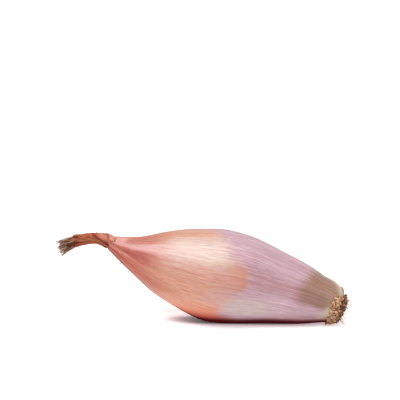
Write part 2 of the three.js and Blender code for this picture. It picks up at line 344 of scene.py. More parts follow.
def bulbSurface(share, angle, grow=0.0):
    # centre + (radius less the flatter back, the rounded ends) * out + relief, not under the floor
    centre, radius = bulbLine(share)
    along = bulbDirections(share)
    up, front = directionsOf(along)
    toRoot = np.linalg.norm(centre - bulbLine(np.zeros(1))[0], axis=-1)
    toNeck = np.linalg.norm(centre - bulbLine(np.ones(1))[0], axis=-1)
    inward = np.maximum(0, bulb["endRound"] - np.minimum(toRoot, 2 * toNeck))
    rounding = bulb["endRound"] - np.sqrt(bulb["endRound"]**2 - inward**2)
    back = np.maximum(0, -np.sin(angle))
    size = radius * (1 - bulb["backFlat"] * back**2) - 0.8 * rounding + bulbRelief(share, angle) + grow
    out = up * np.cos(angle)[..., None] + front * np.sin(angle)[..., None]
    return centre + out * size[..., None], out, along


def ragReach(angle):
    # How far the torn dry skin around the roots reaches back over the bulb, in millimetres
    low, high = bulb["ragReach"]
    torn = 0.5 + 0.3 * np.sin(4 * angle + 2.2) + 0.3 * np.sin(12 * angle + 2 * np.sin(3 * angle))
    fromTop = np.degrees(np.abs((angle - 0.15 + math.pi) % math.tau - math.pi))
    less = 1 - 0.8 * (1 - smooth(fromTop, 12, 42)) - 0.5 * smooth(fromTop, 145, 165)
    return (low + (high - low) * np.clip(torn, 0, 1)) * less


def makeBulb():
    even = np.linspace(0, 1, bulb["rows"])
    rows = 0.4 * even + 0.6 * (0.5 - 0.5 * np.cos(math.pi * even))
    share, angle = np.meshgrid(rows, np.arange(bulb["sides"]) / bulb["sides"] * math.tau, indexing="ij")
    inside, sharpness = tunicDistance(share, angle)
    points, out, along = bulbSurface(share, angle)
    step = bulb["tunicStep"] * sharpness * smooth(inside, -0.15, 0.35) * (1 - smooth(inside, 2, 9))
    points = points + out * step[..., None]
    points[..., 2] = np.maximum(points[..., 2], 0)
    length = lengthFromRoots(share)
    meander = 0.004 * softNoise(angle / math.tau, share, 10, 9, 8)
    turn = angle + meander * math.tau
    veins = np.stack([np.cos(turn), np.sin(turn), share], -1)
    fields = {
        "veinSpace": veins[None],
        "lengthFromRoots": length[None],
        "insideTunic": inside[None],
        "edgeSharpness": sharpness[None],
        "underRags": (ragReach(angle) - length)[None],
    }
    return tubeMesh("pinkSkin", points[None], fields)


def skinMaterial():
    material, wire, finish = newMaterial("pink shallot skin", {
        "Subsurface Weight": 0.1, "Subsurface Radius": (0.003, 0.0012, 0.001),
        "Subsurface Scale": 1.0, "IOR": 1.45, "Specular IOR Level": 0.55})
    space = wire.field("veinSpace", "Vector")
    length = wire.field("lengthFromRoots")

    def fromAngle(degrees):
        # degrees around the bulb between a place and an angle from the top towards the front
        towards = (math.cos(math.radians(degrees)), math.sin(math.radians(degrees)), 0)
        product = wire.add("ShaderNodeVectorMath", {"operation": "DOT_PRODUCT"},
                           {0: space, 1: towards}, output=1)
        return product.math("ARCCOSINE", product) * 57.3

    inside = wire.field("insideTunic")
    sharp = wire.field("edgeSharpness")
    veins = space.times(25, 25, 2.4).noise(1.0, 2.0, 0.55)
    fineVeins = space.times(46, 46, 3.5).noise(1.0, 2.0, 0.6)
    bands = space.times(9, 9, 1.6).noise(1.0, 1.0, 0.5)
    blotches = space.times(2.2, 2.2, 7).noise(1.0, 3.0, 0.55)
    mottle = space.times(9, 9, 15).noise(1.0, 3.0, 0.6)
    grain = space.times(30, 30, 26).noise(1.0, 3.0, 0.65)
    pale = veins.between(0.5, 0.7) * 0.45 + fineVeins.between(0.5, 0.68) * 0.6
    dark = veins.between(0.5, 0.32) * 0.45 + fineVeins.between(0.5, 0.34) * 0.6
    lines = abs(veins - 0.5).between(0.03, 0.0)

    # the fresh lilac skin
    lilac = wire.add("ShaderNodeRGB")
    lilac.socket.default_value = paint("#c49eaa")
    lilac = lilac.mixed(paint("#b894a0"), bands.between(0.45, 0.65) * 0.35)
    lilac = lilac.mixed(paint("#d8bfc9"), pale * 0.6)
    lilac = lilac.mixed(paint("#a87682"), dark * 0.5)
    streak = length + (veins - 0.5) * 20
    rosy = abs(streak - 33).between(19, 7) * fromAngle(69).between(23, 6)
    lilac = lilac.mixed(paint("#a8706c"), rosy * (0.23 + blotches.between(0.3, 0.6) * 0.27))
    greyish = abs(streak - 42).between(16, 7) * fromAngle(112).between(20, 8)
    lilac = lilac.mixed(paint("#c6b2ac"), greyish * 0.75)

    # the dry outer skin, redder and darker towards the neck
    peach = wire.add("ShaderNodeRGB")
    peach.socket.default_value = paint("#cd937e")
    peach = peach.mixed(paint("#cb9a8e"), inside.between(26, 4) * 0.7)
    peach = peach.mixed(paint("#cc8a84"), mottle.between(0.5, 0.66) * 0.45)
    peach = peach.mixed(paint("#da9568"), mottle.between(0.48, 0.34) * 0.45)
    shift = (veins - 0.5) * 16
    # the lower front of the belly paler and more orange: partly the skin's own colour, partly painted
    # light
    bellyColourAndLight = (fromAngle(128) + shift).between(46, 18) * length.between(94, 78)
    peach = peach.mixed(paint("#e9a077"), bellyColourAndLight * 0.55)
    front = space.part(1).between(-0.05, 0.2)
    aside = fromAngle(0) - (length - 66) * 0.2 - 46 + shift * 1.5
    # painted highlight: the outer skin turned pale cream across the band where the light's reflection
    # lies, with fewer of its dark veins there
    paintedHighlight = abs(aside).between(33, 15) * abs(length - 65).between(23, 11) * front
    peach = peach.mixed(paint("#dbc6bb"), paintedHighlight * 0.8)
    crown = (fromAngle(6) + shift).between(32, 14) * abs(length - 73).between(20, 9)
    peach = peach.mixed(paint("#dc9a6a"), crown * 0.45)
    peach = peach.mixed(paint("#ddb19f"), pale * 0.6)
    peach = peach.mixed(paint("#ad654c"), dark * (0.55 - paintedHighlight * 0.25))
    height = wire.add("ShaderNodeTexCoord", output=3).part(2)
    low = (height + (veins - 0.5) * 0.006).between(0.014, 0.005)
    peach = peach.mixed(paint("#e07038"), low * fromAngle(140).between(130, 60) * 0.95)
    redder = (length + shift).between(72, 94)
    peach = peach.mixed(paint("#bb5a44"), redder * 0.82)
    # a pale strand over the shoulder towards the neck: partly the skin's own colour, partly painted
    # highlight
    paleStrandAndHighlight = (fromAngle(55) + shift).between(17, 5) * length.between(66, 88)
    redStrand = (fromAngle(79) + shift).between(21, 8) * length.between(80, 92)
    redStrand = redStrand * length.between(102, 97)
    rustStrand = (fromAngle(138) + shift).between(40, 18) * length.between(66, 86)
    peach = peach.mixed(paint("#e6b9b4"), paleStrandAndHighlight * (0.68 - length.between(92, 100) * 0.18))
    peach = peach.mixed(paint("#a8362c"), redStrand * 0.7)
    peach = peach.mixed(paint("#c65a34"), rustStrand * 0.52)
    darkStrand = (fromAngle(112) + shift).between(24, 10) * length.between(93, 100)
    peach = peach.mixed(paint("#b8452c"), darkStrand * 0.55)
    pinkish = (fromAngle(102) + shift).between(20, 6) * abs(inside - 5).between(8, 2)
    peach = peach.mixed(paint("#cc9c96"), pinkish * 0.55)
    neckStrand = (fromAngle(32) + shift * 0.5).between(30, 14) * length.between(98, 101)
    peach = peach.mixed(paint("#f0b4a8"), neckStrand * 0.7)

    ragged = inside + (fineVeins - 0.5) * 8 + (blotches - 0.5) * (12 - 10 * sharp)
    covered = (ragged / (12 - 10.6 * sharp)).between(-0.9, 0.9)
    color = lilac.mixed(peach, covered).shaded((0.62, 0.42, 0.42, 1), lines * 0.35)
    color = color.shaded((0.8, 0.66, 0.66, 1), grain.between(0.5, 0.34) * 0.4)
    color = color.mixed(paint("#f4e4dc"), grain.between(0.5, 0.66) * 0.13)
    # painted highlight: the lilac skin lightened where the highlight runs on past the outer skin's edge
    paintedEdgeHighlight = abs(aside + 1).between(16, 5) * abs(length - 50).between(9, 3) * front
    color = color.shaded((1.11, 1.12, 1.12, 1), paintedEdgeHighlight)
    torn = fromAngle(76).between(20, 9) + fromAngle(245).between(28, 12)
    rim = abs(inside - 0.9 + (fineVeins - 0.5) * 2).between(2.0, 0.3) * torn
    patch = inside.between(11, 2) * inside.between(-0.8, 0.8) * torn
    color = color.mixed(paint("#c67a60"), patch * 0.42)
    color = color.mixed(paint("#c3734f"), rim * 0.25)

    # the olive patch by the roots, ragged along the veins, and the cream ring at them
    corner = fromAngle(68).between(36, 8) * 3.1 + fromAngle(38).between(20, 5) * 1.2
    frayed = length - corner + (fineVeins - 0.5) * 7 + shift * 0.4
    olive = frayed.between(18.5, 13.0) * (fromAngle(42) + shift + length - 10).between(60, 42)
    brown = wire.add("ShaderNodeRGB")
    brown.socket.default_value = paint("#956b4f")
    brown = brown.mixed(paint("#7f654a"), blotches.between(0.35, 0.65) * 0.6)
    brown = brown.mixed(paint("#84503f"), fromAngle(88).between(30, 10) * 0.5)
    brown = brown.mixed(paint("#b99664"), length.between(9, 4) * 0.35)
    brown = brown.mixed(paint("#bb9274"), pale * 0.7)
    brown = brown.mixed(paint("#7c4e3e"), dark * 0.6)
    border = abs(frayed - 16).between(5, 1) * fromAngle(78).between(26, 10)
    color = color.mixed(paint("#a0584e"), border * 0.4)
    color = color.mixed(brown, olive * (0.92 - bands.between(0.5, 0.7) * 0.25))
    spread = wire.math("MINIMUM", fromAngle(42), 75) * 0.09
    cream = (length + (fineVeins - 0.5) * 8 + shift * 0.2 - spread).between(2.8, -0.6)
    color = color.mixed(paint("#cfc0a4"), cream * 0.85)
    ridge = fromAngle(-12).between(26, 8) * length.between(19, 10)
    color = color.mixed(paint("#d2c6b4"), ridge * 0.55)
    crust = (wire.field("underRags") + (fineVeins - 0.5) * 4).between(0.0, 0.8)
    color = color.mixed(paint("#7a553c"), crust * 0.8)
    place = wire.add("ShaderNodeTexCoord", output=3)
    # painted light: the skin lightened in a band low on the bulb, about 3 to 17 mm above the floor, except
    # near the roots
    paintedLightLowFront = height.between(0.0175, 0.0125) * height.between(0.003, 0.006)
    paintedLightLowFront = paintedLightLowFront * place.part(0).between(0.031, 0.022)
    color = color.shaded((1.14, 1.15, 1.15, 1), paintedLightLowFront)
    left = place.part(0).between(0.006, -0.004)
    right = place.part(0).between(0.012, 0.032)
    # painted shade: the skin darker and redder where it turns under towards the floor, more so on the left
    turned = (height - left * 0.0015).between(0.0078, 0.003)
    color = color.shaded((0.5, 0.1, 0.07, 1), turned * (left * 0.4 + 0.45))
    # where the painted contact shadow goes: the lowest few millimetres of the skin
    under = (height - left * 0.0003 + right * 0.0006).between(0.0056, 0.003)

    bump = wire.add("ShaderNodeBump", inputs={
        "Height": veins * 0.5 + fineVeins * 0.5 - lines * 0.3, "Strength": 0.6, "Distance": 0.00016})
    finish(Base_Color=color, Roughness=0.34 + dark * 0.16 + turned * 0.5, Normal=bump)

    # painted contact shadow: a near-black matte red shader mixed in where the skin turns under to the
    # surface that it lies on
    tree = material.node_tree
    skinShader = Wire(tree, tree.nodes["Principled BSDF"].outputs["BSDF"])
    contactShadeShader = wire.add("ShaderNodeBsdfPrincipled", inputs={
        "Base Color": (0.05, 0.002, 0.005, 1), "Roughness": 1.0, "Specular IOR Level": 0.0})
    mixedShader = wire.add("ShaderNodeMixShader", inputs={0: under * 0.98, 1: skinShader, 2: contactShadeShader})
    tree.links.new(mixedShader.socket, tree.nodes["Material Output"].inputs["Surface"])
    return material


skin = skinMaterial()
addPiece("pinkSkin", makeBulb(), skin, "pink_skin", "bulb")


# The dry neck: a twisted core, the sheaths around it and the frayed fibres at its end

neck = {
    "shoulder": (0.94, 0.97, 1.0),       # places on the bulb that the sheaths start from
    # x, y, z and radius of the bundle from there on
    "stations": [(-56.6, -0.2, 35.8, 2.5), (-60.3, -0.6, 36.45, 2.0), (-65.2, -1.3, 36.0, 2.0),
                 (-70.6, -2.3, 34.7, 2.2), (-76.2, -3.5, 32.7, 2.6)],
    "twist": math.radians(-150),
    "sheaths": 22, "thickness": 0.26,
    # torn tongues over the bulb's shoulder: angle, first and last place, half the width, lift
    # and tint
    "tongues": [(0.75, 0.2, 0.52, 1.6, 0.3, 1.0), (2.6, 0.24, 0.56, 0.5, 0.15, 0.45),
                (4.5, 0.16, 0.6, 1.6, 0.35, 0.7), (5.6, 0.2, 0.6, 1.4, 0.2, 0.85)],
    "blades": 110, "fibres": 170,
}


def neckPlaces():
    shoulder = np.array(neck["shoulder"])
    centre, radius = bulbLine(shoulder)
    lift = 0.3 + 0.5 * (1 - smooth(shoulder, 0.95, 1))
    stations = np.array(neck["stations"])
    return np.vstack([np.column_stack([centre, radius + lift]), stations])


pinch = (len(neck["shoulder"]) - 1) / (len(neck["shoulder"]) + len(neck["stations"]) - 1)


def neckFrame(share, angle):
    # Centre of the bundle, its radius, and the directions out of it and across at an angle,
    # which turns along the neck, most of it at the pinch
    line = curveThrough(neckPlaces(), share)
    step = 0.004
    ahead = curveThrough(neckPlaces(), np.clip(share + step, 0, 1))
    behind = curveThrough(neckPlaces(), np.clip(share - step, 0, 1))
    along = unit((ahead - behind)[..., :3])
    up, front = directionsOf(along)
    turned = angle + neck["twist"] * (0.7 * smooth(share, pinch - 0.06, pinch + 0.24)
                                      + 0.3 * smooth(share, 0.5, 1))
    out = up * np.cos(turned)[..., None] + front * np.sin(turned)[..., None]
    return line[..., :3], line[..., 3], out, np.cross(out, along), along


def makeNeckCore():
    # A tube around the neck's line, from inside the bulb, whose radius is pleated:
    # radius * (0.76 + 0.16 |sin|) with the pleats turning with the twist
    share, angle = np.meshgrid(np.linspace(pinch - 0.04, 0.9, 120),
                               np.arange(108) / 108 * math.tau, indexing="ij")
    centre, radius, out, across, along = neckFrame(share, angle)
    turn = angle / math.tau
    pleat = np.abs(np.sin(4.5 * angle + 0.8 * np.sin(2 * angle)))
    size = radius * (0.76 + 0.16 * pleat) + 0.12 * softNoise(turn, share, 26, 9, 11)
    size = size * (1 - 0.6 * smooth(share, 0.72, 0.9))
    points = centre + out * size[..., None]
    hue = 0.4 + 0.3 * softNoise(turn, share, 14, 5, 12)
    return points, hue


def makeSheaths(rng):
    # A strip for each sheath: across it w runs from -1 to 1 over the top and back underneath.
    # A point is centre + out * (radius + lift - sag w^2 + curl |w|^3) + across * width w.
    count, rows, ring = neck["sheaths"], 64, 24
    around = np.arange(count) / count * math.tau + rng.uniform(-0.15, 0.15, count)
    outer = np.arange(count) % 2
    start = np.where(outer, rng.uniform(0.2, 0.4, count), pinch - 0.03)
    stop = rng.uniform(0.76, 0.92, count)
    width = rng.uniform(0.4, 1.1, count)
    lift = np.where(outer, 0.25, -0.15) + rng.uniform(-0.2, 0.2, count)
    flare = rng.uniform(-0.5, 0.7, count)
    tints = rng.uniform(0.1, 1, count)
    tongues = np.array(neck["tongues"]).T
    around = np.concatenate([around, tongues[0]])
    start = np.concatenate([start, tongues[1]])
    stop = np.concatenate([stop, tongues[2]])
    width = np.concatenate([width, tongues[3]])
    lift = np.concatenate([lift, tongues[4]])
    flare = np.concatenate([flare, np.full(tongues.shape[1], 0.1)])
    tints = np.concatenate([tints, tongues[5]])
    blunt = np.where(np.arange(len(around)) < count, 0.15, 0.55)
    points = stripPoints(around, start, stop, width, lift, flare, blunt, rows, ring)
    return points, np.broadcast_to(tints[:, None, None], points.shape[:3])


def stripPoints(around, start, stop, width, lift, flare, blunt, rows, ring):
    total = len(around)
    u = np.linspace(0, 1, rows)[None, :, None]
    phase = (np.arange(ring) + 0.5) / ring
    w = np.cos(phase * math.tau)[None, None, :]
    side = np.sign(np.sin(phase * math.tau))[None, None, :]
    strip = np.broadcast_to(np.arange(total)[:, None, None], (total, rows, ring))
    jag = 0.016 * softNoise((strip + 0.5 + 0.5 * w) / total, 0 * strip, total * 7, 1, 20)
    share = start[:, None, None] + (stop - start)[:, None, None] * u + jag * (1 - 2 * u)
    angle = np.broadcast_to(around[:, None, None], share.shape)
    centre, radius, out, across, along = neckFrame(share, angle)
    wander = softNoise(strip / total, u + 0 * share, total, 6, 21)
    blunt = blunt[:, None, None]
    taper = (blunt + (1 - blunt) * smooth(u, 0, 0.2)) * (1 - 0.75 * smooth(u, 0.82, 1) ** 2)
    reach = width[:, None, None] * taper * (1 + 0.25 * wander)
    torn = 1 + 0.12 * softNoise((strip + (w > 0) * 0.5) / total, u + 0 * share, total * 2, 26, 22)
    offset = reach * w * torn
    sag = offset**2 / (2 * np.maximum(radius, 1.6))
    curl = 0.35 * np.abs(w) ** 3 * (0.5 + 0.5 * wander)
    crease = 0.14 * np.cos(w * 7 + 3 * wander) + 0.1 * softNoise(
        (strip + 0.5 + 0.5 * w) / total, u + 0 * share, total * 5, 18, 23)
    half = neck["thickness"] / 2 * (1 - 0.6 * np.abs(w) ** 6)
    tucked = 0.55 * (1 - smooth(share, pinch, pinch + 0.14)) * (lift < 0.3)[:, None, None]
    tucked = tucked + (0.5 * (1 - smooth(u, 0, 0.14)) + 0.4 * smooth(u, 0.84, 1)) * (blunt > 0.5)
    raised = (radius + lift[:, None, None] - tucked + flare[:, None, None] * smooth(u, 0.72, 1)
              - sag + curl + crease + side * half)
    return centre + out * raised[..., None] + across * offset[..., None]


def makeBlades(rng):
    # Torn ends of the sheaths, fanned and split, that follow the bundle and droop past its end:
    # centre + out * (radius lift + flare u^3) + (along past - Z droop) u^3
    count, rows = neck["blades"], 26
    u = np.linspace(0, 1, rows)
    first, last = rng.uniform(0.62, 0.85, count), rng.uniform(0.86, 1.0, count)
    share = first[:, None] + (last - first)[:, None] * u
    angle = np.arange(count)[:, None] * 2.4 + rng.uniform(-0.3, 0.3, count)[:, None] + 0 * u
    centre, radius, out, across, along = neckFrame(share, angle)
    lift, flare = rng.uniform(0.35, 1.1, count)[:, None], rng.uniform(-0.8, 0.7, count)[:, None]
    past = rng.uniform(-0.4, 2.2, count)[:, None, None] * along
    past[..., 2] -= rng.uniform(-0.3, 2.0, count)[:, None]
    path = (centre + out * (radius * lift + flare * u**3)[..., None] + past * (u**3)[None, :, None]
            + across * (rng.normal(0, 0.6, count)[:, None] * u**2)[..., None])
    blade = np.arange(count)[:, None] / count + 0 * u
    taper = smooth(u, -0.2, 0.15) * (1 - 0.8 * smooth(u, 0.7, 1))
    wide = rng.uniform(0.15, 0.5, count)[:, None] * taper
    left = wide * (1 + 0.5 * softNoise(blade, blade * 0 + u, count, 12, 24))
    right = wide * (1 + 0.5 * softNoise(blade, blade * 0 + u, count, 12, 25))
    roll = rng.normal(0, 0.7, count)[:, None] * u
    tilted = across * np.cos(roll)[..., None] + out * np.sin(roll)[..., None]
    facing = np.cross(along, tilted)
    cup = rng.normal(0, 0.25, count)[:, None] + 0 * wide
    half = 0.11 + 0 * wide
    points = bladePoints(path, tilted, facing, (left, right), cup, half)
    return points, rng.uniform(0, 1, count)


def makeFibres(rng):
    # Thin four-sided fibres that run along the bundle's last stretch and bend away past its end:
    # start + along * length u + (droop + side + curl sin) u^2
    count, rows, sides = neck["fibres"], 12, 4
    share = rng.uniform(0.8, 0.98, count)
    angle = rng.uniform(0, math.tau, count)
    centre, radius, out, across, along = neckFrame(share, angle)
    start = centre + out * (radius * rng.uniform(0.3, 1.05, count))[:, None]
    length = rng.uniform(1.0, 2.8, count)
    droop = np.stack([rng.normal(0, 0.5, count), rng.normal(0, 0.7, count),
                      rng.normal(-0.7, 0.9, count)], -1)
    wave = rng.uniform(-0.4, 0.4, count)
    thick = rng.uniform(0.07, 0.16, count)
    u = np.linspace(0, 1, rows)
    path = (start[:, None] + along[:, None] * (length[:, None] * u)[..., None]
            + droop[:, None] * (u**2)[None, :, None] * 1.6
            + across[:, None] * (wave[:, None] * np.sin(u * 7)[None] * u)[..., None])
    tint = rng.uniform(0, 1, count)
    return hairPoints(path, thick[:, None] * (1 - 0.75 * u)[None], sides), tint


def hairPoints(path, thickness, sides):
    # A ring of points around each step of many paths: path (hairs, steps, xyz)
    along = unit(np.gradient(path, axis=1))
    side = unit(np.cross(along, np.array([0.31, 0.52, 0.79])))
    over = np.cross(along, side)
    turn = np.arange(sides) / sides * math.tau
    ring = (side[:, :, None] * np.cos(turn)[None, None, :, None]
            + over[:, :, None] * np.sin(turn)[None, None, :, None])
    return path[:, :, None] + ring * thickness[:, :, None, None]


def sheathMaterial():
    material, wire, finish = newMaterial("dry neck sheath", {
        "Subsurface Weight": 0.08, "Subsurface Radius": (0.002, 0.0008, 0.0004),
        "Subsurface Scale": 1.0, "IOR": 1.45, "Specular IOR Level": 0.3})
    tint = wire.field("tint")
    uv = wire.add("ShaderNodeUVMap", {"uv_map": "around and along"})
    place = wire.add("ShaderNodeCombineXYZ", inputs={
        "X": uv.part(0) * 11, "Y": uv.part(1) * 3, "Z": tint * 40})
    streaks = place.noise(1.0, 3.0, 0.6)
    fine = place.times(2.3, 1.5, 1).noise(1.0, 2.0, 0.5)
    spots = wire.add("ShaderNodeTexCoord", output=3).noise(900, 3.0, 0.6)
    color = tint.add("ShaderNodeValToRGB", {"stops": [
        (0.0, paint("#5c170d")), (0.25, paint("#9f4020")), (0.6, paint("#b4522a")),
        (0.8, paint("#b95a32")), (1.0, paint("#cf8257"))]}, {"Fac": tint})
    place = wire.add("ShaderNodeTexCoord", output=3)
    x = place.part(0) + (spots - 0.5) * 0.006
    fresh = x.between(-0.06, -0.054) * tint.between(0.05, 0.3) * (1 - tint.between(0.8, 1.0) * 0.7)
    color = color.mixed(paint("#cf7860"), fresh * 0.75)
    color = color.mixed(paint("#e6a596"), x.between(-0.06, -0.054) * tint.between(0.9, 1.0) * 0.85)
    color = color.mixed(paint("#4e1c10"), streaks.between(0.52, 0.66) * 0.75)
    color = color.mixed(paint("#dda07a"), fine.between(0.56, 0.7) * 0.18)
    # the dark crease of the twist, which runs down over the front, painted as shade, and the peach skin
    # over it
    over = place.part(2) + place.part(0) * 0.648 + 0.00104 + (streaks - 0.5) * 0.0006
    front = place.part(1).between(-0.0002, -0.001)
    flap = over.between(0.0002, 0.0007) * place.part(0).between(-0.0602, -0.0578) * front
    color = color.mixed(paint("#dd937c"), flap * 0.7)
    color = color.mixed(paint("#d96c50"), flap * over.between(0.002, 0.0009) * 0.75)
    # painted shade: dark red along the crease under the flap
    crease = abs(over + 0.0001).between(0.0011, 0.0002) * front
    crease = crease * place.part(0).between(-0.0625, -0.0605) * place.part(0).between(-0.0535, -0.0545)
    color = color.mixed(paint("#64180f"), crease * 0.8)
    frayed = x.between(-0.067, -0.073)
    worn = tint.add("ShaderNodeValToRGB", {"stops": [
        (0.0, paint("#482c1f")), (0.4, paint("#8c6751")), (0.7, paint("#b7977f")),
        (1.0, paint("#e0cebd"))]}, {"Fac": tint})
    color = color.mixed(worn, frayed * 0.75)
    bump = wire.add("ShaderNodeBump", inputs={
        "Height": streaks + fine * 0.4, "Strength": 0.6, "Distance": 0.0003})
    finish(Base_Color=color, Roughness=0.55 + streaks * 0.2, Normal=bump)
    return material


neckRng = np.random.default_rng(7)
sheathLook = sheathMaterial()
corePoints, coreHue = makeNeckCore()
addPiece("neckCore", tubeMesh("neckCore", corePoints[None], {"tint": coreHue[None]}),
         sheathLook, "dry_sheath", "dry_neck")
sheathPoints, sheathHue = makeSheaths(neckRng)
addPiece("neckSheaths", tubeMesh("neckSheaths", sheathPoints, {"tint": sheathHue}),
         sheathLook, "dry_sheath", "dry_neck")
for pieceName, maker in (("neckBlades", makeBlades), ("neckFibres", makeFibres)):
    points, tints = maker(neckRng)
    hue = np.broadcast_to(tints[:, None, None], points.shape[:3])
    addPiece(pieceName, tubeMesh(pieceName, points, {"tint": hue}), sheathLook, "dry_sheath",
             "dry_neck")


# The base of the bulb: its dome, the torn sleeve round it, the stubs and the fine dry roots

base = {
    "height": 1.2, "lump": 0.3, "lift": 0.92,
    "rags": 300,
    "flake": (0.3, 3.2),                 # angle and length of the largest rag, at the rim
    "stubs": 210, "hairs": 270, "strays": 34,
}
baseMiddle = bulbLine(np.zeros(1))[0][0]
outOfBase = -bulbDirections(np.zeros(1))[0]
baseUp, baseFront = directionsOf(-outOfBase)
rimPoint = bulbSurface(np.zeros(1), np.zeros(1), base["lift"])[0][0]
rimRadius = float((rimPoint - baseMiddle) @ baseUp)


def onBase(outward, distance, angle):
    return (baseMiddle + outOfBase * np.asarray(outward)[..., None]
            + baseUp * (distance * np.cos(angle))[..., None]
            + baseFront * (distance * np.sin(angle))[..., None])


def domeHeight(distance):
    return base["lift"] + base["height"] * np.sqrt(np.maximum(0, 1 - (distance / rimRadius) ** 2))


def makePlate():
    # A dome over the end of the bulb: height * sqrt(1 - r^2), with lumps of noise
    r, angle = np.meshgrid(np.linspace(1, 0.02, 40), np.arange(90) / 90 * math.tau, indexing="ij")
    turn = angle / math.tau
    lumps = base["lump"] * (softNoise(turn, r, 22, 7, 31) + 0.6 * softNoise(turn, r, 40, 14, 32))
    skirt = onBase(np.full(90, -1.0), np.full(90, rimRadius * 0.9), angle[0])
    dome = onBase(domeHeight(r * rimRadius) - 0.5 + lumps, r * rimRadius * 0.97, angle)
    return np.concatenate([skirt[None], dome])


def makeRags(rng):
    # Crumbs of torn dry skin that lie every way on the band around the rim. Each is a short bent
    # blade: middle + heading * length (u - 1/2) + out * bend (u - 1/2)^2.
    count, rows = base["rags"], 7
    angle = rng.uniform(0, math.tau, count)
    angle[0] = base["flake"][0]
    back = rng.uniform(-0.08, 1, count) * ragReach(angle)
    fromTop = np.degrees(np.abs((angle - 0.15 + math.pi) % math.tau - math.pi))
    grown = 0.3 * smooth(fromTop, 10, 45)
    middle, out, along = bulbSurface(np.maximum(0, back) / bulb["length"], angle, grown)
    middle = middle + (outOfBase * np.maximum(0, -back)[:, None]
                       + out * (grown * rng.uniform(0, 1.3, count))[:, None])
    around = np.cross(out, along)
    flatter = smooth(fromTop, 10, 45)
    middle = middle - out * (0.7 * (1 - flatter))[:, None]
    heading = unit(along * rng.normal(0.5, 0.6, count)[:, None]
                   + around * rng.normal(0, 0.6, count)[:, None]
                   + out * (rng.normal(0.05, 0.22, count) * flatter)[:, None])
    middle[0] = middle[0] + outOfBase * 1.9 - out[0] * 1.3
    heading[0] = unit(outOfBase + 0.45 * out[0])
    facing = unit(out + rng.normal(0, 0.25, (count, 3)))
    across = unit(np.cross(facing, heading))
    facing = np.cross(heading, across)
    length = rng.uniform(1.0, 2.5, count) * (0.55 + 0.45 * flatter)
    length[0] = base["flake"][1]
    u = np.linspace(0, 1, rows) - 0.5
    bend = rng.normal(0, 0.9, count)
    path = (middle[:, None] + heading[:, None] * (length[:, None] * u)[..., None]
            + facing[:, None] * (bend[:, None] * u**2)[..., None])
    crumb = np.arange(count)[:, None] / count + 0 * u
    taper = 1 - 1.6 * np.abs(u) ** 2
    wide = rng.uniform(0.3, 0.8, count)[:, None] * taper
    left = wide * (1 + 0.6 * softNoise(crumb, crumb * 0 + u + 0.5, count, 6, 33))
    right = wide * (1 + 0.6 * softNoise(crumb, crumb * 0 + u + 0.5, count, 6, 34))
    cup = rng.normal(0, 0.3, count)[:, None] + 0 * wide
    points = bladePoints(path, np.broadcast_to(across[:, None], path.shape),
                         np.broadcast_to(facing[:, None], path.shape), (left, right), cup, 0.13 + 0 * wide)
    points[..., 2] = np.maximum(points[..., 2], 0.02)
    return points, 0.4 + 0.6 * rng.uniform(0, 1, count) ** 0.8


def spiralPlaces(count, rng, spread):
    turn = np.arange(count) * math.pi * (3 - math.sqrt(5)) + rng.uniform(-0.2, 0.2, count)
    return np.sqrt((np.arange(count) + 0.5) / count) * rimRadius * spread, turn


def makeStubs(rng):
    # Short bent roots all over the dome, on a golden-angle spiral
    count, rows, sides = base["stubs"], 8, 6
    distance, angle = spiralPlaces(count, rng, 1.0)
    start = onBase(domeHeight(distance) - 0.7, distance, angle)
    radial = onBase(np.zeros(count), np.ones(count), angle) - baseMiddle
    lean = rng.uniform(0.0, 0.6, count) * distance / rimRadius
    heading = unit(outOfBase + radial * lean[:, None] + rng.normal(0, 0.25, (count, 3)))
    bend = rng.normal(0, 0.45, (count, 3))
    length = rng.uniform(0.7, 1.7, count) * (1 - 0.65 * (distance / rimRadius) ** 2)
    u = np.linspace(0, 1, rows)
    path = (start[:, None] + heading[:, None] * (length[:, None] * u)[..., None]
            + bend[:, None] * (u**2)[None, :, None])
    path[..., 2] = np.maximum(path[..., 2], 0.5)
    thick = rng.uniform(0.16, 0.4, count)[:, None] * (1 - 0.5 * u)[None]
    return hairPoints(path, thick, sides), 0.7 * rng.uniform(0, 1, count) ** 2


def makeHairs(rng):
    # Fine curly roots that mat over the dome and stray past it
    count, rows, sides = base["hairs"], 14, 4
    distance = rimRadius * np.sqrt(rng.uniform(0.02, 1.1, count))
    angle = rng.uniform(0, math.tau, count)
    start = onBase(domeHeight(distance) - 0.3, distance, angle)
    radial = onBase(np.zeros(count), np.ones(count), angle) - baseMiddle
    sideways = np.cross(radial, outOfBase)
    heading = unit(outOfBase * rng.uniform(0.1, 0.8, count)[:, None] + rng.normal(0, 0.6, (count, 3)))
    length = rng.uniform(0.8, 2.2, count)
    strays = base["strays"]
    length[:strays] += rng.uniform(1.5, 4.5, strays)
    heading[:strays] = unit(outOfBase + rng.normal(0, 0.45, (strays, 3)))
    pullBack = np.where(np.arange(count) < strays, 0.2, 0.5) * length
    wave = rng.uniform(0.2, 0.6, count)
    pace = rng.uniform(4, 9, count)
    u = np.linspace(0, 1, rows)
    curl = wave[:, None] * np.sin(pace[:, None] * u) * u
    roll = wave[:, None] * (1 - np.cos(pace[:, None] * u)) * u
    path = (start[:, None] + heading[:, None] * (length[:, None] * u)[..., None]
            + sideways[:, None] * curl[..., None] + radial[:, None] * roll[..., None]
            - outOfBase * (pullBack[:, None] * u**2)[..., None])
    path[..., 2] = np.maximum(path[..., 2], 0.15)
    thick = rng.uniform(0.06, 0.12, count)[:, None] * (1 - 0.5 * u)[None]
    return hairPoints(path, thick, sides), rng.uniform(0, 1, count)


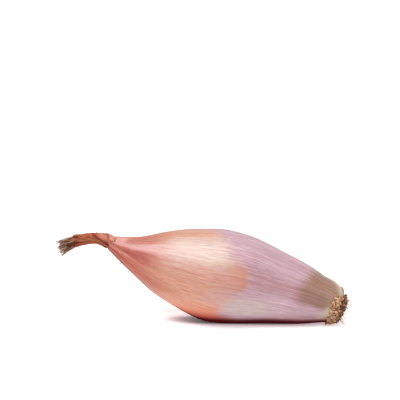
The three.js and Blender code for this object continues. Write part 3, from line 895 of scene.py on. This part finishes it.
def rootMaterial():
    material, wire, finish = newMaterial("dry roots", {"IOR": 1.4})
    tint = wire.field("tint")
    place = wire.add("ShaderNodeTexCoord", output=3)
    blotches = place.noise(700, 3.0, 0.6)
    grit = place.noise(2600, 2.0, 0.6)
    color = tint.add("ShaderNodeValToRGB", {"stops": [
        (0.0, paint("#4c2d1d")), (0.3, paint("#8a5a3e")), (0.5, paint("#c08259")),
        (0.75, paint("#d69b74")), (1.0, paint("#e8bd9b"))]}, {"Fac": tint})
    color = color.mixed(paint("#56371f"), blotches.between(0.54, 0.7) * 0.4)
    color = color.mixed(paint("#e2c7a6"), grit.between(0.58, 0.75) * 0.3)
    bump = wire.add("ShaderNodeBump", inputs={"Height": grit, "Strength": 0.6, "Distance": 0.0002})
    finish(Base_Color=color, Roughness=0.7 + grit * 0.2, Normal=bump)
    return material


def plateMaterial():
    material, wire, finish = newMaterial("root plate", {"IOR": 1.4})
    place = wire.add("ShaderNodeTexCoord", output=3)
    clods = place.noise(900, 4.0, 0.65)
    grit = place.noise(3000, 2.0, 0.6)
    color = wire.add("ShaderNodeRGB")
    color.socket.default_value = paint("#6b4630")
    color = color.mixed(paint("#3a2417"), clods.between(0.45, 0.62) * 0.85)
    color = color.mixed(paint("#8c6546"), grit.between(0.55, 0.75) * 0.6)
    bump = wire.add("ShaderNodeBump", inputs={"Height": clods + grit * 0.4, "Strength": 0.8,
                                             "Distance": 0.0005})
    finish(Base_Color=color, Roughness=0.85 + grit * 0.1, Normal=bump)
    return material


rootRng = np.random.default_rng(23)
rootLook = rootMaterial()
addPiece("rootPlate", tubeMesh("rootPlate", makePlate()[None]), plateMaterial(), "dry_root",
         "root_tuft")
for pieceName, maker in (("rootRags", makeRags), ("rootStubs", makeStubs),
                         ("rootHairs", makeHairs)):
    points, hue = maker(rootRng)
    if hue.ndim == 1:
        hue = np.broadcast_to(hue[:, None, None], points.shape[:3])
    addPiece(pieceName, tubeMesh(pieceName, points, {"tint": hue}), rootLook, "dry_root",
             "root_tuft")


# The floor, the light and the camera

studio = {
    "flatRadius": 1.5, "floorRadius": 14.0, "rise": 0.012,   # metres, and rise per metre squared
    "floorDrop": 0.00003,
    "skyStrength": 0.95, "glow": 0.62,
    # middle of the place that the bulb touches, where the floor's painted shadow lies, and half its length
    # and width, in metres, then the same of the painted light spilt around it and of the faint painted
    # shade beyond
    "touch": (0.005, 0.038, 0.0083), "spill": (0.008, 0.065, 0.03), "shade": (0.0, 0.11, 0.05),
    "unspilt": 0.52, "shadeDepth": 0.28,
    "sunFrom": (-0.22, -0.38, 0.9), "sunStrength": 3.2, "sunAngle": 42,
    "target": (-13.5, 0.0, 54.4),        # millimetres
    "azimuth": 5.0, "elevation": 10.0, "distance": 440.0, "lens": 90.0,
}


def floorMaterial():
    # White and lit from below by its own glow, with a painted shadow where the bulb touches it, a painted
    # pink reflection of the skin near that, a painted brighter ring around it and a faint painted shade
    # further out
    material, wire, finish = newMaterial("white table", {
        "IOR": 1.4, "Roughness": 0.6, "Specular IOR Level": 0.2,
        "Emission Strength": studio["glow"]})
    place = wire.add("ShaderNodeTexCoord", output=3)

    def reach(middle, halfLength, halfWidth):
        # 0 in the middle and 1 at the rim of a rounded oblong, a little askew: x^4 + y^2
        x = (place.part(0) - middle) / halfLength
        y = (place.part(1) - place.part(0) * 0.05) / halfWidth
        return x * x * x * x + y * y

    # the floor's glow: painted light spilt around the bulb, and a faint painted shade further out
    spilt = reach(*studio["spill"]).between(1.0, 0.1)
    open_ = reach(*studio["shade"]).between(0.1, 1.0) * studio["shadeDepth"]
    lit = spilt * studio["unspilt"] + (1 - studio["unspilt"] - studio["shadeDepth"]) + open_
    # painted contact shadow where the bulb touches, tinted by a painted pink reflection of the skin near
    # it
    touch = reach(*studio["touch"])
    away = touch.between(0.2, 0.85)
    # painted light: a brighter ring in the glow just around the painted contact shadow
    lit = lit + touch.between(0.6, 1.3) * touch.between(3.4, 1.6) * 0.19
    cloud = place.noise(6, 2.0, 0.5)
    white = wire.add("ShaderNodeRGB")
    white.socket.default_value = (0.72, 0.72, 0.72, 1)
    paintedSkinReflection = wire.add("ShaderNodeRGB")
    paintedSkinReflection.socket.default_value = (1, 0.78, 0.82, 1)
    paintedContactShadow = wire.add("ShaderNodeRGB")
    paintedContactShadow.socket.default_value = (0.06, 0.02, 0.03, 1)
    finish(Base_Color=white.mixed((0.69, 0.69, 0.69, 1), cloud),
           Emission_Color=paintedContactShadow.mixed(paintedSkinReflection.mixed((1, 1, 1, 1), touch.between(0.5, 2.4)), away * lit))
    return material


def makeFloor():
    # A flat table whose far edge rises like a paper sweep: rise * (r - flatRadius)^2
    r, angle = np.meshgrid(np.array([0.02, 0.3, 0.8, *np.linspace(1.5, studio["floorRadius"], 26)]),
                           np.arange(64) / 64 * math.tau, indexing="ij")
    height = studio["rise"] * np.maximum(0, r - studio["flatRadius"]) ** 2 - studio["floorDrop"]
    points = np.stack([r * np.cos(angle), r * np.sin(angle), height], -1).reshape(-1, 3)
    row, side = np.meshgrid(np.arange(len(r) - 1), np.arange(64), indexing="ij")
    row, side = row.ravel(), side.ravel()
    after = (side + 1) % 64
    quads = np.stack([row * 64 + side, (row + 1) * 64 + side, (row + 1) * 64 + after,
                      row * 64 + after], 1)
    mesh = bpy.data.meshes.new("floor")
    mesh.from_pydata(points.tolist(), [], quads.tolist() + [list(range(64))])
    mesh.polygons.foreach_set("use_smooth", np.ones(len(mesh.polygons), bool))
    return mesh


floor = bpy.data.objects.new("floor", makeFloor())
bpy.context.scene.collection.objects.link(floor)
floor.data.materials.append(floorMaterial())

world = bpy.data.worlds.new("white studio")
bpy.context.scene.world = world
world.use_nodes = True
world.node_tree.nodes["Background"].inputs["Color"].default_value = (1, 1, 1, 1)
world.node_tree.nodes["Background"].inputs["Strength"].default_value = studio["skyStrength"]

target = Vector(studio["target"]) * mm
sunData = bpy.data.lights.new("softbox", "SUN")
sunData.energy = studio["sunStrength"]
sunData.angle = math.radians(studio["sunAngle"])
sun = bpy.data.objects.new("softbox", sunData)
sun.rotation_euler = Vector(studio["sunFrom"]).to_track_quat("Z", "Y").to_euler()
bpy.context.scene.collection.objects.link(sun)

cameraData = bpy.data.cameras.new("camera")
cameraData.lens = studio["lens"]
cameraData.clip_start, cameraData.clip_end = 0.01, 20
camera = bpy.data.objects.new("camera", cameraData)
turn, rise = math.radians(studio["azimuth"]), math.radians(studio["elevation"])
towards = Vector((math.sin(turn) * math.cos(rise), -math.cos(turn) * math.cos(rise), math.sin(rise)))
camera.location = target + towards * studio["distance"] * mm
camera.rotation_euler = (-towards).to_track_quat("-Z", "Y").to_euler()
bpy.context.scene.collection.objects.link(camera)
bpy.context.scene.camera = camera

look = bpy.context.scene.view_settings
look.view_transform = "Standard"
look.look = "None"
print("studio ready")
